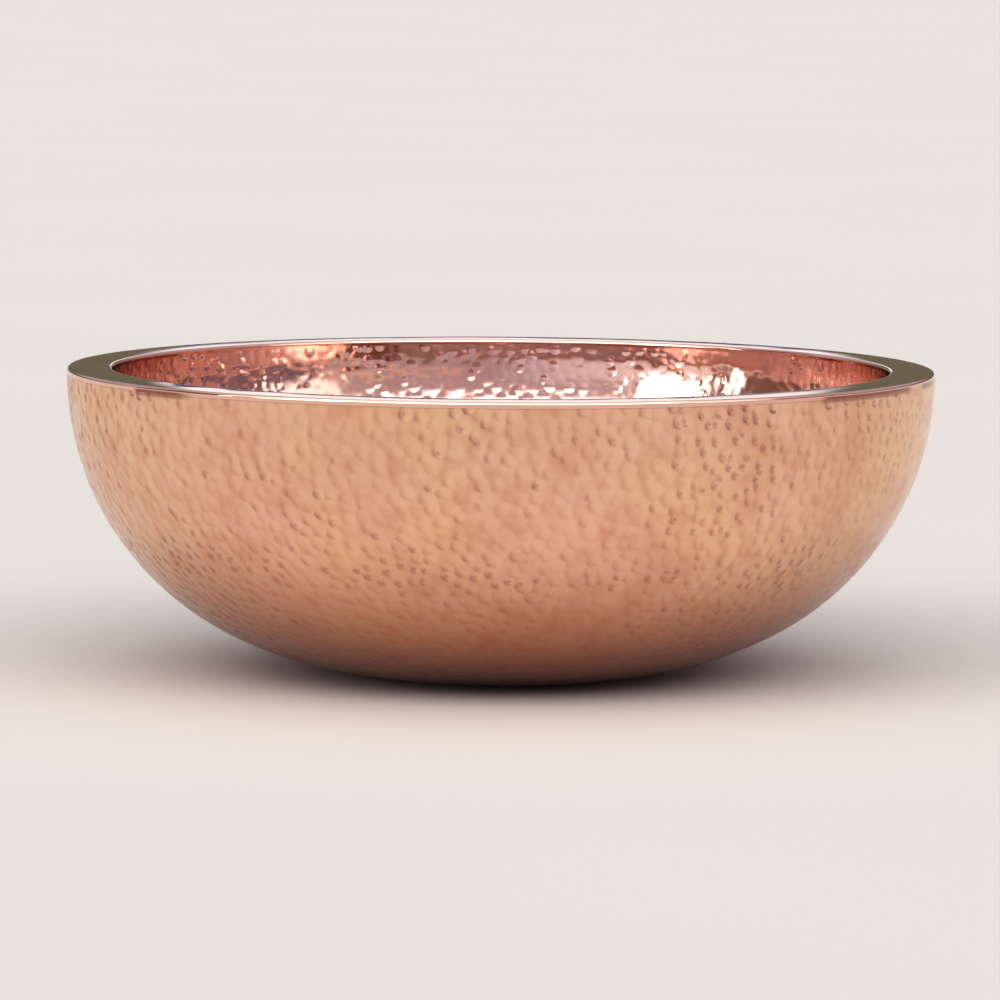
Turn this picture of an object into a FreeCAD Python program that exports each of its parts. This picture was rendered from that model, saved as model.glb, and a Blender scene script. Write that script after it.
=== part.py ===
"""Double-walled hammered copper bowl, as an assembly of its separate pieces.

Two raised copper bowls stand one inside the other with an even gap between them. A flat
polished ring bridges their top edges, and fillets of brazing alloy under the ring hold all
three together and seal the hollow wall. A notched hoop between the two floors carries the
load of whatever is in the bowl. The hot air that brazing drives out leaves through a small
hole in the middle of the outer floor, which a countersunk plug then closes.

Millimetres, +Z up. The origin is the middle of the underside, on the surface the bowl rests on.
Every piece is turned about Z, so each is drawn as a section in the XZ plane.
"""

import FreeCAD
import Part

import math
import os

# The whole bowl.
rim_diameter = 432.0
overall_height = 152.4
base_radius = 51.0  # the flat that the bowl stands on
wall_turn = 62.0  # degrees that the side arc turns through, from upright at the rim

# The two walls and the ring that joins them.
sheet = 1.5
rim_width = 22.5
ring_thickness = 3.0
edge_round = 1.4
braze_leg = 2.5

# Inside the hollow wall.
hoop_radius = 40.0
hoop_notches = 6
notch_width = 9.0
notch_height = 5.0
plug_radius_inside = 2.0
plug_radius_outside = 3.0

# Worked out from those.
rim_radius = rim_diameter / 2
rim_inner_radius = rim_radius - rim_width
ring_underside = overall_height - ring_thickness
inner_sheet_underside = rim_width - sheet

AXIS = FreeCAD.Vector(0, 0, 1)
CENTRE = FreeCAD.Vector(0, 0, 0)


def solve_arcs():
    """Radii of the side arc and the floor arc, tangent to each other, that run from upright
    under the ring to level at the edge of the flat base."""
    turn = math.radians(wall_turn)
    sine, cosine = math.sin(turn), math.cos(turn)
    drop, run_in = ring_underside, rim_radius - base_radius
    # side * sine + floor * (1 - sine) = drop, and side * (1 - cosine) + floor * cosine = run_in
    determinant = sine * cosine - (1 - sine) * (1 - cosine)
    side = (drop * cosine - run_in * (1 - sine)) / determinant
    floor = (run_in * sine - drop * (1 - cosine)) / determinant
    return side, floor


side_arc, floor_arc = solve_arcs()


def point(radius, height):
    """A point of a section, at that distance from the axis and that height."""
    return FreeCAD.Vector(radius, 0, height)


def on_arc(centre, radius, degrees):
    """The point of an arc where the wall has turned in by that many degrees from upright."""
    a = math.radians(degrees)
    return centre + point(radius * math.cos(a), -radius * math.sin(a))


def wall_curve(inset):
    """Edges of the bowl's outline moved inwards by inset, from under the ring to the axis."""
    side_centre = point(rim_radius - side_arc, ring_underside)
    floor_centre = point(base_radius, floor_arc)
    side, floor = side_arc - inset, floor_arc - inset
    top = on_arc(side_centre, side, 0)
    side_middle = on_arc(side_centre, side, wall_turn / 2)
    joint = on_arc(side_centre, side, wall_turn)
    floor_middle = on_arc(floor_centre, floor, (wall_turn + 90) / 2)
    flat_edge = on_arc(floor_centre, floor, 90)
    return [
        Part.Arc(top, side_middle, joint).toShape(),
        Part.Arc(joint, floor_middle, flat_edge).toShape(),
        Part.makeLine(flat_edge, point(0, inset)),
    ]


def turned(edges):
    """The solid that a closed section makes when it turns about the axis."""
    wire = Part.Wire(Part.__sortEdges__(edges))
    solid = Part.Face(wire).revolve(CENTRE, AXIS, 360)
    if solid.Volume < 0:
        solid.reverse()
    return solid


def polygon(points):
    """Edges of a closed section with straight sides."""
    return [Part.makeLine(a, b) for a, b in zip(points, points[1:] + points[:1])]


def shell(outer_inset, inner_inset):
    """A bowl of sheet between two insets of the outline, open at the top."""
    edges = wall_curve(outer_inset) + wall_curve(inner_inset)
    top_edge = Part.makeLine(
        point(rim_radius - outer_inset, ring_underside),
        point(rim_radius - inner_inset, ring_underside),
    )
    on_axis = Part.makeLine(point(0, outer_inset), point(0, inner_inset))
    return turned(edges + [top_edge, on_axis])


def countersink():
    """The cone that the vent hole and its plug share, in the middle of the outer floor."""
    return Part.makeCone(plug_radius_outside, plug_radius_inside, sheet)


def outer_shell():
    """The hammered outside bowl, with the vent hole in its floor."""
    return shell(0, sheet).cut(countersink())


def inner_shell():
    """The hammered inside bowl, which holds the contents."""
    return shell(rim_width - sheet, rim_width)


def rim_ring():
    """The flat polished ring on top of both walls, with its two upper edges rounded over."""
    corners = [
        point(rim_inner_radius, ring_underside),
        point(rim_radius, ring_underside),
        point(rim_radius, overall_height),
        point(rim_inner_radius, overall_height),
    ]
    ring = turned(polygon(corners))
    upper_edges = [e for e in ring.Edges if is_upper_rim(e)]
    return ring.makeFillet(edge_round, upper_edges)


def is_upper_rim(edge):
    """True for the two circles at the top of the ring."""
    box = edge.BoundBox
    return box.ZMin > overall_height - edge_round / 2 and box.XLength > rim_inner_radius


def rim_braze(corner_radius, inwards):
    """A fillet of alloy in the corner under the ring, against the wall at corner_radius.
    inwards is -1 where it reaches towards the axis and 1 where it reaches away from it."""
    behind_wall = corner_radius - inwards * sheet / 2
    foot = ring_underside - braze_leg
    section = [
        point(behind_wall, ring_underside),
        point(corner_radius + inwards * braze_leg, ring_underside),
        point(corner_radius, foot),
        point(behind_wall, foot),
    ]
    return turned(polygon(section)).cut(outer_shell()).cut(inner_shell())


def spacer_hoop():
    """The strip hoop between the two floors, notched so that air can pass through it."""
    height = inner_sheet_underside - sheet
    foot = point(0, sheet)
    hoop = Part.makeCylinder(hoop_radius, height, foot)
    hoop = hoop.cut(Part.makeCylinder(hoop_radius - sheet, height, foot))
    for k in range(hoop_notches):
        notch = Part.makeBox(
            3 * sheet,
            notch_width,
            notch_height,
            FreeCAD.Vector(
                hoop_radius - 2 * sheet,
                -notch_width / 2,
                inner_sheet_underside - notch_height,
            ),
        )
        notch.rotate(CENTRE, AXIS, k * 360 / hoop_notches)
        hoop = hoop.cut(notch)
    return hoop


def hoop_braze():
    """The fillet of alloy that fixes the foot of the hoop to the outer floor."""
    section = [
        point(hoop_radius, sheet),
        point(hoop_radius + braze_leg, sheet),
        point(hoop_radius, sheet + braze_leg),
    ]
    return turned(polygon(section))


def build():
    """Every piece by the name of its node."""
    return {
        "outer_shell": outer_shell(),
        "inner_shell": inner_shell(),
        "rim_ring": rim_ring(),
        "outer_rim_braze": rim_braze(rim_radius - sheet, -1),
        "inner_rim_braze": rim_braze(rim_inner_radius + sheet, 1),
        "spacer_hoop": spacer_hoop(),
        "hoop_braze": hoop_braze(),
        "vent_plug": countersink(),
    }


os.makedirs("parts", exist_ok=True)
print(f"side arc {side_arc:.2f} mm, floor arc {floor_arc:.2f} mm")
total = 0.0
for name, shape in build().items():
    total += shape.Volume
    print(name, "valid" if shape.isValid() else "NOT VALID", f"{shape.Volume:.0f} mm3")
    shape.exportStep(os.path.join("parts", name + ".step"))
print(f"all pieces {total:.0f} mm3")
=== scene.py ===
"""Looks of the double-walled hammered copper bowl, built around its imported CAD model.

Metres, +Z up, the bowl standing on z = 0. The two hammered bowls and the polished ring are
remade as fine meshes, because their hammer marks and their rounded edges are real shape.
The pieces inside the hollow wall keep their CAD meshes and get finished materials.
"""

import math

import bpy
import numpy as np
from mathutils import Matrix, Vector


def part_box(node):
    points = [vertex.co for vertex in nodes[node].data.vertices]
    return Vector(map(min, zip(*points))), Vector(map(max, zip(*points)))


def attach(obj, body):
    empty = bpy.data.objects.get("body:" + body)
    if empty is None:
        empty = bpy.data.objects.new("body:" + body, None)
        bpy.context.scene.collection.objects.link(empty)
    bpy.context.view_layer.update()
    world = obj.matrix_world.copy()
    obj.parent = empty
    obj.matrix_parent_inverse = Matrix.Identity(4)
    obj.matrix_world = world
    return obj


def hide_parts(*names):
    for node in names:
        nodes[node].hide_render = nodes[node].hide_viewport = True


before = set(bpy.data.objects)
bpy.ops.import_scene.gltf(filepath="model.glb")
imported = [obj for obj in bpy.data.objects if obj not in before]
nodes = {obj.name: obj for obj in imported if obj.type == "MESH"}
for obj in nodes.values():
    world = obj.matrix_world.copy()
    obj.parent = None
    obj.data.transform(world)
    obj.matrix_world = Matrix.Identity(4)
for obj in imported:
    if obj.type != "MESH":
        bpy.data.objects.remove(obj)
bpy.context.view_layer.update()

TAU = 2 * math.pi
MM = 0.001

# Sizes that the frame gives.
OVERALL_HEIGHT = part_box("rim_ring")[1].z
RING_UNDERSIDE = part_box("rim_ring")[0].z
RIM_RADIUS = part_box("outer_shell")[1].x
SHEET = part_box("spacer_hoop")[0].z
RIM_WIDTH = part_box("inner_shell")[0].z + SHEET
VENT_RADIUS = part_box("vent_plug")[1].x
BASE_RADIUS = 51 * MM  # the flat that the bowl stands on
WALL_TURN = math.radians(62)  # how far the side arc turns, from upright at the ring
COURSE = 86 * MM  # how far down a wall two courses of hammering meet

# Fineness of the meshes.
OUTSIDE_SPACING = 0.9 * MM
INSIDE_SPACING = 0.95 * MM
CAVITY_SPACING = 6 * MM
RING_SEGMENTS = 900


# ---------------------------------------------------------------- the bowl's outline


def solve_arcs():
    """Radii of the side arc and the floor arc, tangent to each other, that run from upright
    under the ring to level at the edge of the flat base."""
    sine, cosine = math.sin(WALL_TURN), math.cos(WALL_TURN)
    drop, run_in = RING_UNDERSIDE, RIM_RADIUS - BASE_RADIUS
    determinant = sine * cosine - (1 - sine) * (1 - cosine)
    side = (drop * cosine - run_in * (1 - sine)) / determinant
    floor = (run_in * sine - drop * (1 - cosine)) / determinant
    return side, floor


SIDE_ARC, FLOOR_ARC = solve_arcs()


class Outline:
    """The bowl's section moved in by inset: the side arc, the floor arc and then the flat.
    A place on it is given by the distance travelled down from under the ring."""

    def __init__(self, inset):
        self.side = SIDE_ARC - inset
        self.floor = FLOOR_ARC - inset
        self.side_run = self.side * WALL_TURN
        self.floor_run = self.floor * (math.pi / 2 - WALL_TURN)
        self.length = self.side_run + self.floor_run + BASE_RADIUS

    def at(self, travel):
        """Radius, height and turn from upright at each distance travelled."""
        travel = np.asarray(travel, float)
        on_side = travel < self.side_run
        past_side = np.clip(travel - self.side_run, 0, self.floor_run)
        on_flat = np.maximum(travel - self.side_run - self.floor_run, 0)
        turn = np.where(on_side, travel / self.side, WALL_TURN + past_side / self.floor)
        arc = np.where(on_side, self.side, self.floor)
        centre_radius = np.where(on_side, RIM_RADIUS - SIDE_ARC, BASE_RADIUS)
        centre_height = np.where(on_side, RING_UNDERSIDE, FLOOR_ARC)
        radius = centre_radius + arc * np.cos(turn) - on_flat
        return radius, centre_height - arc * np.sin(turn), turn


# ---------------------------------------------------------------- rings of points and meshes


class Rings:
    """Rings of points about the axis, in order along a closed or open section."""

    def __init__(self):
        self.points = []
        self.starts = []
        self.counts = []
        self.phases = []
        self.total = 0

    def add(self, points, phase):
        """Adds a ring. phase is its first point's angle, as a share of its point spacing."""
        self.starts.append(self.total)
        self.counts.append(len(points))
        self.phases.append(phase)
        self.points.append(points)
        self.total += len(points)

    def triangles_between(self, a, b):
        """Triangles that zip ring a to ring b, walking both of them round by angle."""
        start_a, start_b = self.starts[a], self.starts[b]
        n_a, n_b = self.counts[a], self.counts[b]
        i_a, i_b = np.arange(n_a), np.arange(n_b)
        if n_b == 1:
            apex = np.full(n_a, start_b)
            return np.stack([start_a + i_a, apex, start_a + (i_a + 1) % n_a], 1)
        if n_a == 1:
            apex = np.full(n_b, start_a)
            return np.stack([start_b + i_b, start_b + (i_b + 1) % n_b, apex], 1)
        middle_a = (i_a + 0.5 + self.phases[a]) / n_a
        middle_b = (i_b + 0.5 + self.phases[b]) / n_b
        passed_b = np.searchsorted(middle_b, middle_a, side="right")
        passed_a = np.searchsorted(middle_a, middle_b, side="left")
        along_a = [start_a + i_a, start_b + passed_b % n_b, start_a + (i_a + 1) % n_a]
        along_b = [start_b + i_b, start_b + (i_b + 1) % n_b, start_a + passed_a % n_a]
        return np.concatenate([np.stack(along_a, 1), np.stack(along_b, 1)])

    def solid(self):
        """Vertices and triangles of the closed body whose section is the rings in order."""
        order = list(range(len(self.counts)))
        pairs = list(zip(order, order[1:]))
        if self.counts[-1] > 1:
            pairs.append((order[-1], order[0]))
        triangles = np.concatenate([self.triangles_between(a, b) for a, b in pairs])
        return np.concatenate(self.points), triangles


def circle(radius, height, count, phase):
    """A ring of points at one radius and height."""
    angle = TAU * (np.arange(count) + phase) / count
    return np.stack([radius * np.cos(angle), radius * np.sin(angle), np.full(count, height)], 1)


def enclosed_volume(points, triangles):
    """Volume of a closed body, below 0 if its faces are turned inwards."""
    a, b, c = (points[triangles[:, k]] for k in range(3))
    return np.einsum("ij,ij->", a, np.cross(b, c)) / 6


def mesh_object(name, points, triangles, sharp_from):
    """A smooth-shaded object, its faces turned outwards, sharp where faces meet at more than
    sharp_from degrees."""
    if enclosed_volume(points, triangles) < 0:
        triangles = triangles[:, ::-1]
    mesh = bpy.data.meshes.new(name)
    mesh.vertices.add(len(points))
    mesh.vertices.foreach_set("co", points.astype(np.float32).ravel())
    mesh.loops.add(triangles.size)
    mesh.loops.foreach_set("vertex_index", triangles.astype(np.int32).ravel())
    mesh.polygons.add(len(triangles))
    mesh.polygons.foreach_set("loop_start", np.arange(0, triangles.size, 3, dtype=np.int32))
    mesh.update(calc_edges=True)
    mesh.validate()
    mesh.shade_smooth()
    mesh.set_sharp_from_angle(angle=math.radians(sharp_from))
    piece = bpy.data.objects.new(name, mesh)
    bpy.context.scene.collection.objects.link(piece)
    return piece


def store(piece, name, values):
    """Keeps a number for each vertex, for the material to read."""
    attribute = piece.data.attributes.new(name, "FLOAT", "POINT")
    attribute.data.foreach_set("value", values.astype(np.float32))


# ---------------------------------------------------------------- hammering


def waves(points, wavelength, seed, count=28):
    """Smooth random undulation, about -2 to 2, with crests roughly a wavelength apart."""
    random = np.random.default_rng(seed)
    direction = random.normal(size=(count, 3))
    direction /= np.linalg.norm(direction, axis=1)[:, None]
    stretch = random.uniform(0.7, 1.4, count) / wavelength
    phase = random.uniform(0, TAU, count)
    total = np.zeros(len(points))
    for k in range(count):
        total += np.sin(points @ (direction[k] * stretch[k] * TAU) + phase[k])
    return total * math.sqrt(2 / count)


class Hammering:
    """Rows of round hammer marks worked round a bowl, from under the ring to the middle.

    pitch is from mark to mark. Most blows are light and leave a broad shallow mark, with the
    larger reach and the smaller depth. A hard blow leaves a small deep one, and there are
    more of those near the ring, low down and where two courses of hammering meet. A mark's
    floor is the flatter and its wall the steeper for a higher flatness. The hammer leans, so
    each mark is deeper towards its lower left, as seen from outside the bowl. Each of
    stretches is a part of the wall under the ring, by its middle and its half width in
    degrees round the axis, that was struck harder, or lighter if its last number is below 0."""

    def __init__(self, outline, pitch, first_row, seed, reach, depth, flatness, lean, stretches):
        random = np.random.default_rng(seed)
        self.flatness = flatness
        self.row_pitch = pitch * 0.88
        self.first_row = first_row
        rows = int((outline.length - first_row) / self.row_pitch) + 1
        radius = outline.at(first_row + self.row_pitch * np.arange(rows))[0]
        self.counts = np.maximum(1, np.round(TAU * radius / pitch)).astype(int)
        self.phases = random.uniform(0, 1, rows)
        self.starts = np.concatenate([[0], np.cumsum(self.counts)[:-1]])
        total = int(self.counts.sum())
        row = np.repeat(np.arange(rows), self.counts)
        place = np.arange(total) - self.starts[row]
        along = place + self.phases[row] + random.uniform(-0.4, 0.4, total)
        travel = first_row + self.row_pitch * (row + random.uniform(-0.4, 0.4, total))
        r, z, turn = outline.at(np.clip(travel, 0, outline.length))
        angle = TAU * along / self.counts[row]
        across, ahead = np.cos(angle), np.sin(angle)
        self.centres = np.stack([r * across, r * ahead, z], 1)
        strength = 0.6 * waves(self.centres, 80 * MM, seed + 1) + random.normal(0, 0.9, total)
        near_ring = np.exp(-travel / (35 * MM))
        below_course = 1 / (1 + np.exp((COURSE - travel) / (5 * MM)))
        on_course = np.exp(-(((travel - COURSE) / (10 * MM)) ** 2))
        strength += 0.7 * near_ring + 0.6 * below_course
        strength += 2.0 * on_course
        for middle, half_width, change in stretches:
            away = (angle - math.radians(middle) + math.pi) % TAU - math.pi
            from_middle = away / math.radians(half_width)
            strength += change * np.exp(-(from_middle**2) - travel / (30 * MM))
        hard = 1 / (1 + np.exp(-1.7 * (strength - 1.0)))
        self.depth = depth[0] + (depth[1] - depth[0]) * hard
        self.reach = (reach[1] + (reach[0] - reach[1]) * hard) * random.uniform(0.88, 1.12, total)
        left = np.stack([ahead, -across, 0 * z], 1)
        down = np.stack([-across * np.sin(turn), -ahead * np.sin(turn), -np.cos(turn)], 1)
        aside = random.normal(math.radians(20), math.radians(35), total)[:, None]
        self.lean = lean * (left * np.cos(aside) + down * np.sin(aside)) / self.reach[:, None]

    def at(self, points, travel, softness):
        """How far each point is driven in. Where marks overlap the deepest one shows, and
        their edges are eased over softness."""
        row_at = np.floor((travel - self.first_row) / self.row_pitch).astype(int)
        turn = np.arctan2(points[:, 1], points[:, 0]) / TAU % 1
        total = np.ones(len(points))
        for row_step in (-1, 0, 1, 2):
            row = np.clip(row_at + row_step, 0, len(self.counts) - 1)
            real = row == row_at + row_step
            count = self.counts[row]
            nearest = np.floor(turn * count - self.phases[row]).astype(int)
            for step in (-1, 0, 1, 2):
                mark = self.starts[row] + (nearest + step) % count
                offset = points - self.centres[mark]
                away = np.linalg.norm(offset, axis=1) / self.reach[mark]
                leaning = 1 + np.einsum("ij,ij->i", offset, self.lean[mark])
                cup = self.depth[mark] * (1 - away**self.flatness) * leaning.clip(0.1, 2)
                total += np.where(real, np.exp(np.clip(cup / softness, -30, 40)), 0)
        return softness * np.log(total)


# ---------------------------------------------------------------- the three remade pieces


def hammered_face(rings, outline, spacing, stop, facing, hammering, softness, waviness, seed):
    """Adds the rings of a hammered face, from under the ring to stop, and returns the smooth
    bowl's outward direction at each point and how far the point is driven in. facing is 1 if
    the face looks away from the axis."""
    step = spacing * math.sqrt(3) / 2
    rows = int(round(stop / step))
    travel_of_row = np.linspace(0, stop, rows + 1)
    points, travel, direction, counts = [], [], [], []
    for k, t in enumerate(travel_of_row):
        radius, height, turn = (float(v) for v in outline.at(t))
        count = max(8, int(round(TAU * radius / spacing))) if radius > 1e-6 else 1
        phase = 0.5 * (k % 2)
        ring = circle(radius, height, count, phase)
        outwards = ring / max(radius, 1e-9) * math.cos(turn)
        outwards[:, 2] = -math.sin(turn)
        points.append(ring)
        travel.append(np.full(count, t))
        direction.append(outwards)
        counts.append((count, phase))
    points, travel, direction = map(np.concatenate, (points, travel, direction))
    driven = hammering.at(points, travel, softness)
    slow = waviness * (1 + 0.5 * waves(points, 55 * MM, seed)).clip(0, 2)
    at_edge = np.clip(travel / (12 * MM), 0, 1)
    moved = points - facing * direction * (driven + slow * at_edge)[:, None]
    first = 0
    for count, phase in counts:
        rings.add(moved[first : first + count], phase)
        first += count
    return direction, driven


def cavity_face(rings, outline, start):
    """Adds the plain face of a sheet inside the hollow wall, from the middle up to the ring."""
    rows = int(round((outline.length - start) / CAVITY_SPACING))
    for travel in np.linspace(outline.length - start, 0, rows + 1):
        radius, height, _ = (float(v) for v in outline.at(travel))
        if radius < 1e-6:
            continue
        count = max(24, int(round(TAU * radius / CAVITY_SPACING)))
        rings.add(circle(radius, height, count, 0), 0)


def outer_bowl():
    """The outside bowl. Its underside keeps the countersunk hole that the vent plug fills."""
    outline = Outline(0)
    # harder at the front right, the right and the left, lighter at the front left
    hammering = Hammering(
        outline, pitch=7.6 * MM, first_row=2.2 * MM, seed=11,
        reach=(3.0 * MM, 4.8 * MM), depth=(0.14 * MM, 0.37 * MM), flatness=2.6, lean=0.5,
        stretches=((-61, 10, 3.2), (-22, 16, 3.2), (-155, 18, 1.2), (-112, 14, -1.5)),
    )
    rings = Rings()
    stop = outline.length - VENT_RADIUS
    direction, driven = hammered_face(
        rings, outline, OUTSIDE_SPACING, stop, 1, hammering, 0.02 * MM, 0.12 * MM, seed=12
    )
    hole_top = VENT_RADIUS - MM
    rings.add(circle(hole_top, SHEET, 24, 0), 0)
    cavity_face(rings, Outline(SHEET), hole_top + CAVITY_SPACING)
    return finished_shell("outer_bowl", rings, direction, driven, 1)


def inner_bowl():
    """The inside bowl, with smaller and closer marks."""
    outline = Outline(RIM_WIDTH)
    # lighter at the back right
    hammering = Hammering(
        outline, pitch=6.0 * MM, first_row=1.8 * MM, seed=21,
        reach=(2.6 * MM, 4.4 * MM), depth=(0.06 * MM, 0.30 * MM), flatness=2.3, lean=0.3,
        stretches=((50, 10, -5.0),),
    )
    rings = Rings()
    direction, driven = hammered_face(
        rings, outline, INSIDE_SPACING, outline.length, -1, hammering, 0.015 * MM, 0.1 * MM, seed=22
    )
    cavity_face(rings, Outline(RIM_WIDTH - SHEET), CAVITY_SPACING)
    return finished_shell("inner_bowl", rings, direction, driven, -1)


def finished_shell(name, rings, direction, driven, facing):
    """The mesh of a shell. The material reads how far each point of its hammered face leans
    to the right, or more and more upwards further down the wall, and paints shade on the
    side of each mark that does. It also reads how deep the point is, in mm."""
    points, triangles = rings.solid()
    piece = mesh_object(name, points, triangles, sharp_from=40)
    normal = np.zeros(3 * len(points), np.float32)
    piece.data.vertex_normals.foreach_get("vector", normal)
    hammered = len(direction)
    tilt = normal.reshape(-1, 3)[:hammered] - facing * direction
    angle = np.arctan2(points[:hammered, 1], points[:hammered, 0])
    across, ahead = np.cos(angle), np.sin(angle)
    sine, cosine = -direction[:, 2], np.hypot(direction[:, 0], direction[:, 1])
    right = facing * np.stack([-ahead, across, 0 * angle], 1)
    up = np.stack([across * sine, ahead * sine, cosine], 1)
    aslant = (math.radians(12) + 0.8 * np.arctan2(sine, cosine))[:, None]
    leaning = np.zeros(len(points))
    leaning[:hammered] = np.einsum("ij,ij->i", tilt, np.cos(aslant) * right + np.sin(aslant) * up)
    store(piece, "leaning", leaning)
    store(piece, "hollow", np.pad(driven / MM, (0, len(points) - hammered)))
    return piece


def ring_section():
    """Points (radius, height) round the polished ring's section. Its top is crowned a little
    and both upper edges are rounded over."""
    inner, outer = RIM_RADIUS - RIM_WIDTH, RIM_RADIUS
    edge = 1.4 * MM
    crest = inner + RIM_WIDTH / 2
    fall = 0.108 * MM

    def top(radius):
        share = (radius - crest) / (outer - crest)
        return OVERALL_HEIGHT - fall * share**2

    section = [(inner, RING_UNDERSIDE)]
    for angle in np.linspace(math.pi, math.pi / 2, 12):
        radius = inner + edge * (1 + math.cos(angle))
        section.append((radius, top(inner + edge) - edge * (1 - math.sin(angle))))
    flat = np.linspace(inner + edge, outer - edge, 24)[1:-1]
    section += [(radius, top(radius)) for radius in flat]
    for angle in np.linspace(math.pi / 2, 0, 12):
        radius = outer - edge * (1 - math.cos(angle))
        section.append((radius, top(outer - edge) - edge * (1 - math.sin(angle))))
    section.append((outer, RING_UNDERSIDE))
    return section


def polished_ring():
    """The flat polished ring, ground by hand, so that its top and edges waver very slightly."""
    rings = Rings()
    for radius, height in ring_section():
        ring = circle(radius, height, RING_SEGMENTS, 0)
        if height > RING_UNDERSIDE:
            waver = (waves(ring, 45 * MM, 31) + 2).clip(0, 4)
            ring[:, 2] -= 0.02 * MM * waver
        rings.add(ring, 0)
    points, triangles = rings.solid()
    return mesh_object("polished_ring", points, triangles, sharp_from=40)


# ---------------------------------------------------------------- materials


class Nodes:
    """A short way to write a node tree."""

    def __init__(self, tree):
        self.tree = tree
        tree.nodes.clear()

    def add(self, kind, inputs=(), **settings):
        node = self.tree.nodes.new(kind)
        for name, value in settings.items():
            setattr(node, name, value)
        for socket, value in dict(inputs).items():
            self.set(node, socket, value)
        return node

    def set(self, node, socket, value):
        if isinstance(value, bpy.types.NodeSocket):
            self.tree.links.new(value, node.inputs[socket])
        else:
            node.inputs[socket].default_value = value

    def math(self, operation, *values):
        return self.add("ShaderNodeMath", dict(enumerate(values)), operation=operation).outputs[0]

    def degrees(self, angle):
        return self.math("MULTIPLY", angle, 180 / math.pi)

    def noise(self, scale, detail=3.0, roughness=0.5, stretch=None):
        """Noise over the object's own coordinates, in metres."""
        place = self.add("ShaderNodeTexCoord").outputs["Object"]
        if stretch:
            mapping = self.add("ShaderNodeMapping", {"Vector": place, "Scale": stretch})
            place = mapping.outputs["Vector"]
        inputs = {"Vector": place, "Scale": scale, "Detail": detail, "Roughness": roughness}
        return self.add("ShaderNodeTexNoise", inputs).outputs["Fac"]

    def span(self, value, low, high, to_low=0.0, to_high=1.0):
        """value, from low to high, brought to to_low to to_high and held there past the ends."""
        inputs = {0: value, 1: low, 2: high, 3: to_low, 4: to_high}
        return self.add("ShaderNodeMapRange", inputs, interpolation_type="SMOOTHSTEP").outputs[0]

    def mix(self, share, a, b):
        node = self.add("ShaderNodeMix", {0: share, 6: a, 7: b}, data_type="RGBA")
        return node.outputs[2]

    def at_ends(self, across):
        """1 at the bowl's left and right ends, broken up by noise, and 0 elsewhere.
        across is the object's own X."""
        ends = self.span(self.math("ABSOLUTE", across), 0.66 * RIM_RADIUS, 0.72 * RIM_RADIUS)
        return self.math("MULTIPLY", ends, self.span(self.noise(18.0), 0.42, 0.5))

    def bump(self, height, strength, distance, normal=None):
        inputs = {"Height": height, "Strength": strength, "Distance": distance}
        if normal:
            inputs["Normal"] = normal
        return self.add("ShaderNodeBump", inputs).outputs["Normal"]


def rgba(red, green, blue):
    """An opaque colour, its parts linear."""
    return (red, green, blue, 1.0)


HEAT_TINT = (0.22, 0.04, 0.03)  # maroon oxide beside the brazed joints of the ring


def new_material(name):
    material = bpy.data.materials.new(name)
    material.use_nodes = True
    return material, Nodes(material.node_tree)


def close_material(nodes_of, inputs):
    shader = nodes_of.add("ShaderNodeBsdfPrincipled", inputs)
    nodes_of.add("ShaderNodeOutputMaterial", {"Surface": shader.outputs[0]})


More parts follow.
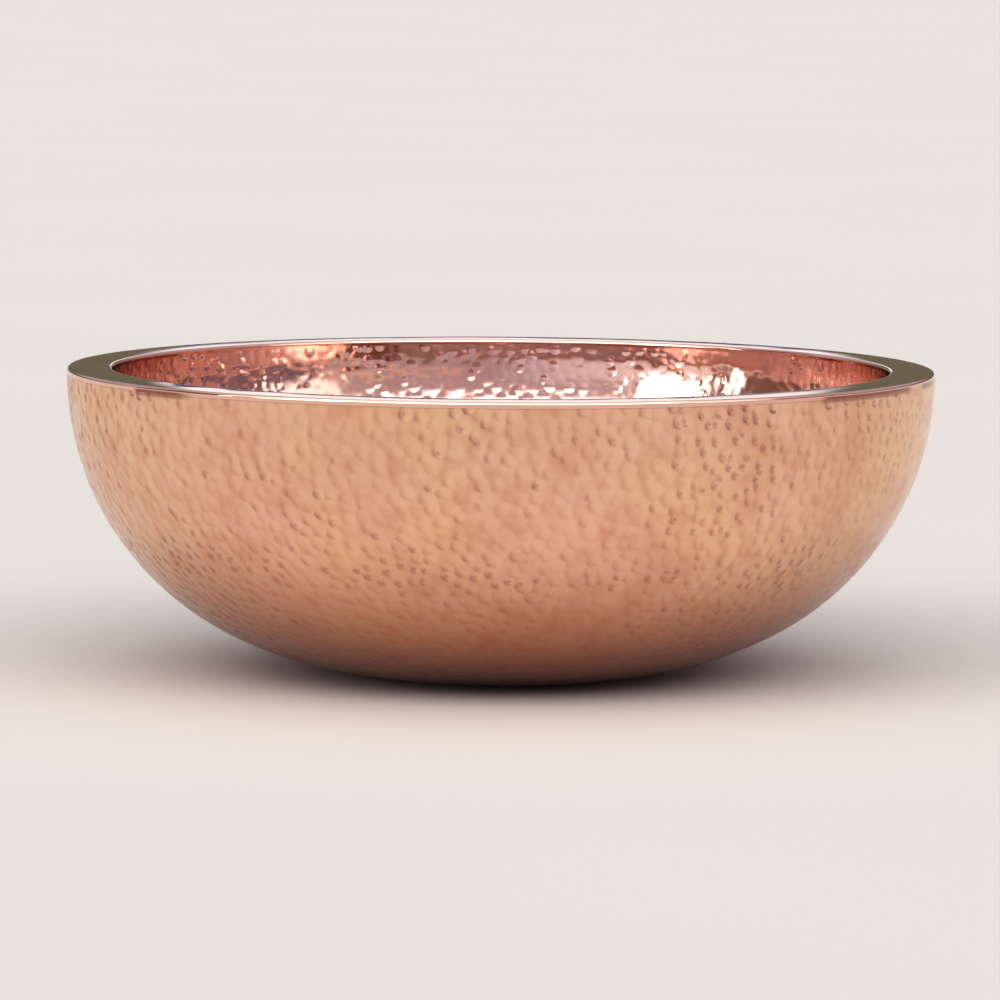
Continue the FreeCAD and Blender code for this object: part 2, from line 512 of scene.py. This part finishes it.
def hammered_copper(name, base, rosy, brown, painted_shade_and_deep_fill, base_shade, roughness, shade_and_tint_share, base_shade_share, heat_reach):
    """Polished copper over hammer marks: rosy and brown clouds of thin oxide, painted shade in
    brown and in a darker colour on the side of each mark that leans right or upwards, that
    darker colour also in the deepest marks, painted shade that turns it darker and browner
    towards the base, standing in for the dark reflection of the shaded floor under the bowl,
    the tint that brazing the ring left at the two ends, and fine scratches.
    shade_and_tint_share is how far the painted shade on the marks, the dark deepest marks and
    the tint cover the copper, base_shade_share is how far the painted shade towards the base
    covers it, and heat_reach is how far down from the ring the tint goes."""
    material, n = new_material(name)
    patches = n.noise(22.0, detail=4.0, roughness=0.6)
    clouds = n.noise(12.0, detail=3.0)
    blooms = n.noise(85.0, detail=2.0)
    specks = n.noise(420.0, detail=5.0, roughness=0.7)
    leaning = n.add("ShaderNodeAttribute", attribute_name="leaning").outputs["Fac"]
    place = n.add("ShaderNodeTexCoord").outputs["Object"]
    axes = n.add("ShaderNodeSeparateXYZ", {0: place}).outputs
    height = axes["Z"]
    colour = n.mix(n.span(clouds, 0.4, 0.62), rgba(*base), rgba(*rosy))
    colour = n.mix(n.span(patches, 0.42, 0.72, 0.0, 0.24), colour, rgba(*brown))
    colour = n.mix(n.span(blooms, 0.45, 0.7, 0.0, 0.22), colour, rgba(*brown))
    # painted shade: brown on the side of each mark that leans right or upwards
    colour = n.mix(n.span(leaning, -0.045, 0.05, 0.0, 0.26), colour, rgba(*brown))
    # painted shade: darker and browner towards the base, standing in for the dark reflection of the
    # shaded floor under the bowl
    colour = n.mix(n.span(height, 0.56 * OVERALL_HEIGHT, 0.0, 0.0, base_shade_share), colour, rgba(*base_shade))
    deep = n.add("ShaderNodeAttribute", attribute_name="hollow").outputs["Fac"]
    # painted shade: the dark colour on the side of each mark that leans right or upwards, and the same
    # colour laid in the deepest marks
    painted_shade_side = n.span(leaning, 0.03, 0.2, 0.0, shade_and_tint_share)
    shade_and_fill = n.math("MAXIMUM", painted_shade_side, n.span(deep, 0.3, 0.42, 0.0, shade_and_tint_share))
    shade_and_fill = n.math("MULTIPLY", shade_and_fill, n.span(specks, 0.25, 0.6, 0.5, 1.0))
    colour = n.mix(shade_and_fill, colour, rgba(*painted_shade_and_deep_fill))
    heated = n.span(height, RING_UNDERSIDE - heat_reach, RING_UNDERSIDE - MM, 0.0, shade_and_tint_share)
    colour = n.mix(n.math("MULTIPLY", heated, n.at_ends(axes["X"])), colour, rgba(*HEAT_TINT))
    low, high = roughness
    rough = n.math("ADD", n.span(patches, 0.35, 0.7, low, high), n.span(specks, 0.5, 0.8, 0.0, 0.05))
    scratches = n.noise(900.0, detail=2.0, stretch=(1.0, 1.0, 0.12))
    normal = n.bump(scratches, 0.06, 0.02 * MM)
    normal = n.bump(specks, 0.12, 0.03 * MM, normal)
    close_material(n, {"Base Color": colour, "Metallic": 1.0, "Roughness": rough, "Normal": normal})
    return material


def polished_copper():
    """Mirror-polished copper, a little cloudy, with a heat tint on its sides at the two ends."""
    material, n = new_material("polished_copper")
    clouds = n.noise(16.0, detail=3.0)
    specks = n.noise(300.0, detail=4.0, roughness=0.65)
    colour = n.mix(n.span(clouds, 0.4, 0.65), rgba(0.88, 0.54, 0.41), rgba(0.84, 0.49, 0.40))
    place = n.add("ShaderNodeTexCoord").outputs["Object"]
    axes = n.add("ShaderNodeSeparateXYZ", {0: place}).outputs
    heated = n.span(axes["Z"], OVERALL_HEIGHT - 1.6 * MM, RING_UNDERSIDE + MM, 0.0, 0.85)
    colour = n.mix(n.math("MULTIPLY", heated, n.at_ends(axes["X"])), colour, rgba(*HEAT_TINT))
    rough = n.math("ADD", n.span(clouds, 0.35, 0.65, 0.04, 0.07), n.span(specks, 0.5, 0.8, 0.0, 0.04))
    normal = n.bump(specks, 0.08, 0.02 * MM)
    close_material(n, {"Base Color": colour, "Metallic": 1.0, "Roughness": rough, "Normal": normal})
    return material


def plain_copper():
    """Sheet that was never polished, with the brown and violet bloom of the brazing heat."""
    material, n = new_material("plain_copper")
    bloom = n.noise(60.0, detail=4.0, roughness=0.6)
    grain = n.noise(700.0, detail=4.0, roughness=0.7)
    colour = n.mix(n.span(bloom, 0.35, 0.6), rgba(0.50, 0.22, 0.13), rgba(0.30, 0.13, 0.12))
    rough = n.span(grain, 0.3, 0.7, 0.38, 0.6)
    normal = n.bump(grain, 0.25, 0.05 * MM)
    close_material(n, {"Base Color": colour, "Metallic": 1.0, "Roughness": rough, "Normal": normal})
    return material


def brazing_alloy():
    """Filler metal as it set: matt, rippled, yellower than copper, with dark flux stains."""
    material, n = new_material("brazing_alloy")
    stain = n.noise(120.0, detail=4.0, roughness=0.6)
    ripple = n.noise(500.0, detail=2.0)
    colour = n.mix(n.span(stain, 0.45, 0.7), rgba(0.66, 0.52, 0.33), rgba(0.20, 0.15, 0.11))
    rough = n.span(stain, 0.35, 0.7, 0.32, 0.65)
    normal = n.bump(ripple, 0.4, 0.1 * MM)
    close_material(n, {"Base Color": colour, "Metallic": 1.0, "Roughness": rough, "Normal": normal})
    return material


def floor_material():
    material, n = new_material("pale_floor")
    tone = n.noise(1.5, detail=2.0)
    colour = n.mix(tone, rgba(0.518, 0.497, 0.474), rgba(0.530, 0.509, 0.489))
    close_material(n, {"Base Color": colour, "Roughness": 1.0, "Specular IOR Level": 0.0})
    return material


# ---------------------------------------------------------------- light, floor and camera


def studio():
    """Soft light from all round: a bright ceiling, dim walls that start just above the horizon
    and tall soft boxes. Directions are a heading, in degrees to the right of the camera as
    seen from the bowl, and an elevation."""
    world = bpy.data.worlds.new("studio")
    bpy.context.scene.world = world
    world.use_nodes = True
    n = Nodes(world.node_tree)
    axes = n.add("ShaderNodeSeparateXYZ", {0: n.add("ShaderNodeTexCoord").outputs["Generated"]}).outputs
    elevation = n.degrees(n.math("ARCSINE", axes["Z"]))
    heading = n.degrees(n.math("ARCTAN2", axes["X"], n.math("MULTIPLY", axes["Y"], -1.0)))
    off_front = n.math("ABSOLUTE", heading)

    def box(colour, headings, elevations, soft, light):
        """colour with a soft-edged panel of light over those headings and elevations."""
        share = 1.0
        for angle, (low, high) in ((heading, headings), (elevation, elevations)):
            share = n.math("MULTIPLY", share, n.span(angle, low - soft, low + soft))
            share = n.math("MULTIPLY", share, n.span(angle, high + soft, high - soft))
        return n.mix(share, colour, rgba(*light))

    behind = n.span(off_front, 95.0, 125.0)
    wall = n.mix(n.span(heading, -35.0, 10.0), rgba(1.00, 0.94, 0.96), rgba(0.48, 0.42, 0.51))
    wall = n.mix(n.span(heading, 50.0, 70.0), wall, rgba(0.13, 0.09, 0.14))
    wall = n.mix(behind, wall, rgba(0.150, 0.135, 0.088))
    backdrop = n.mix(n.span(elevation, 4.1, 4.25), rgba(0.08, 0.05, 0.13), rgba(1.1, 1.05, 1.05))
    wall = n.mix(n.span(off_front, 176.6, 177.1), wall, backdrop)
    above = n.mix(behind, rgba(0.52, 0.44, 0.47), rgba(0.46, 0.46, 0.56))
    wall = n.mix(n.span(elevation, 8.0, 18.0), wall, above)
    # darker stretches of wall at the far left and the far right
    wall = box(wall, (-112.0, -69.0), (2.4, 40.0), 2.0, (0.20, 0.11, 0.09))
    wall = box(wall, (70.0, 104.0), (2.4, 16.0), 2.0, (0.26, 0.17, 0.20))
    colour = n.mix(n.span(elevation, 1.9, 2.4), rgba(0.827, 0.774, 0.732), wall)
    high = n.mix(behind, rgba(1.3, 1.25, 1.2), rgba(0.56, 0.56, 0.62))
    colour = n.mix(n.span(elevation, 34.0, 50.0), colour, high)
    # soft boxes: wide and high in front, tall at the left, low and warm at the right, tall at
    # the right, and a strip at the far left
    colour = box(colour, (-40.0, 56.0), (21.0, 54.0), 2.5, (4.2, 4.15, 4.05))
    colour = box(colour, (-68.0, -43.0), (8.5, 50.0), 2.5, (4.6, 4.5, 4.4))
    colour = box(colour, (10.0, 64.0), (6.0, 10.0), 1.5, (0.85, 0.60, 0.48))
    colour = box(colour, (52.0, 77.0), (10.0, 40.0), 2.5, (2.0, 1.95, 1.95))
    colour = box(colour, (-79.0, -75.0), (3.0, 40.0), 0.7, (4.0, 3.9, 3.8))
    colour = n.mix(n.span(elevation, 56.0, 72.0), colour, rgba(1.65, 1.6, 1.54))
    background = n.add("ShaderNodeBackground", {"Color": colour, "Strength": 1.0})
    n.add("ShaderNodeOutputWorld", {"Surface": background.outputs[0]})


def pale_floor():
    half = 60.0
    mesh = bpy.data.meshes.new("floor")
    corners = [(-half, -half, 0), (half, -half, 0), (half, half, 0), (-half, half, 0)]
    mesh.from_pydata(corners, [], [(0, 1, 2, 3)])
    floor = bpy.data.objects.new("floor", mesh)
    floor.data.materials.append(floor_material())
    bpy.context.scene.collection.objects.link(floor)


def camera():
    """A long lens, a little above the rim, with the bowl's axis in the middle of the view."""
    distance = 3.0
    elevation = math.radians(4.35)
    aim = Vector((0, 0, 0.5623 * OVERALL_HEIGHT))
    roll = math.radians(0.4)
    view = bpy.data.objects.new("camera", bpy.data.cameras.new("camera"))
    bpy.context.scene.collection.objects.link(view)
    rim_centre = Vector((0, 0, OVERALL_HEIGHT))
    view.location = rim_centre + distance * Vector((0, -math.cos(elevation), math.sin(elevation)))
    view.rotation_euler = (aim - view.location).to_track_quat("-Z", "Y").to_euler()
    view.rotation_euler.rotate_axis("Z", roll)
    view.data.sensor_width = 36
    view.data.lens = 216.5
    view.data.clip_end = 200
    bpy.context.scene.camera = view


# ---------------------------------------------------------------- putting it together


def dress(piece, material, node):
    """Gives a remade piece its material and its body, and hides the CAD node that it stands for."""
    piece.data.materials.append(material)
    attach(piece, "root")
    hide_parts(node)


def refinish(material, *names):
    """Gives CAD nodes that stay as they are a finished material."""
    for name in names:
        nodes[name].data.materials.clear()
        nodes[name].data.materials.append(material)


camera()
studio()
pale_floor()

outside_copper = hammered_copper(
    "outside_copper",
    base=(0.90, 0.55, 0.33),
    rosy=(0.90, 0.54, 0.365),
    brown=(0.55, 0.18, 0.085),
    # dark colour painted as shade on the side of each mark, and laid in the deepest marks
    painted_shade_and_deep_fill=(0.29, 0.095, 0.105),
    # painted shade towards the base
    base_shade=(0.40, 0.09, 0.03),
    roughness=(0.15, 0.24),
    shade_and_tint_share=0.62,
    base_shade_share=1.0,
    heat_reach=2.5 * MM,
)
inside_copper = hammered_copper(
    "inside_copper",
    base=(0.87, 0.56, 0.46),
    rosy=(0.84, 0.53, 0.47),
    brown=(0.60, 0.29, 0.22),
    # dark colour painted as shade on the side of each mark, and laid in the deepest marks
    painted_shade_and_deep_fill=(0.30, 0.13, 0.15),
    # colour of the painted shade towards the base
    base_shade=(0.60, 0.29, 0.22),
    roughness=(0.08, 0.14),
    shade_and_tint_share=0.35,
    base_shade_share=0.0,
    heat_reach=12 * MM,
)
dress(outer_bowl(), outside_copper, "outer_shell")
dress(inner_bowl(), inside_copper, "inner_shell")
dress(polished_ring(), polished_copper(), "rim_ring")
refinish(plain_copper(), "spacer_hoop", "vent_plug")
refinish(brazing_alloy(), "outer_rim_braze", "inner_rim_braze", "hoop_braze")

bpy.context.scene.view_settings.view_transform = "Standard"
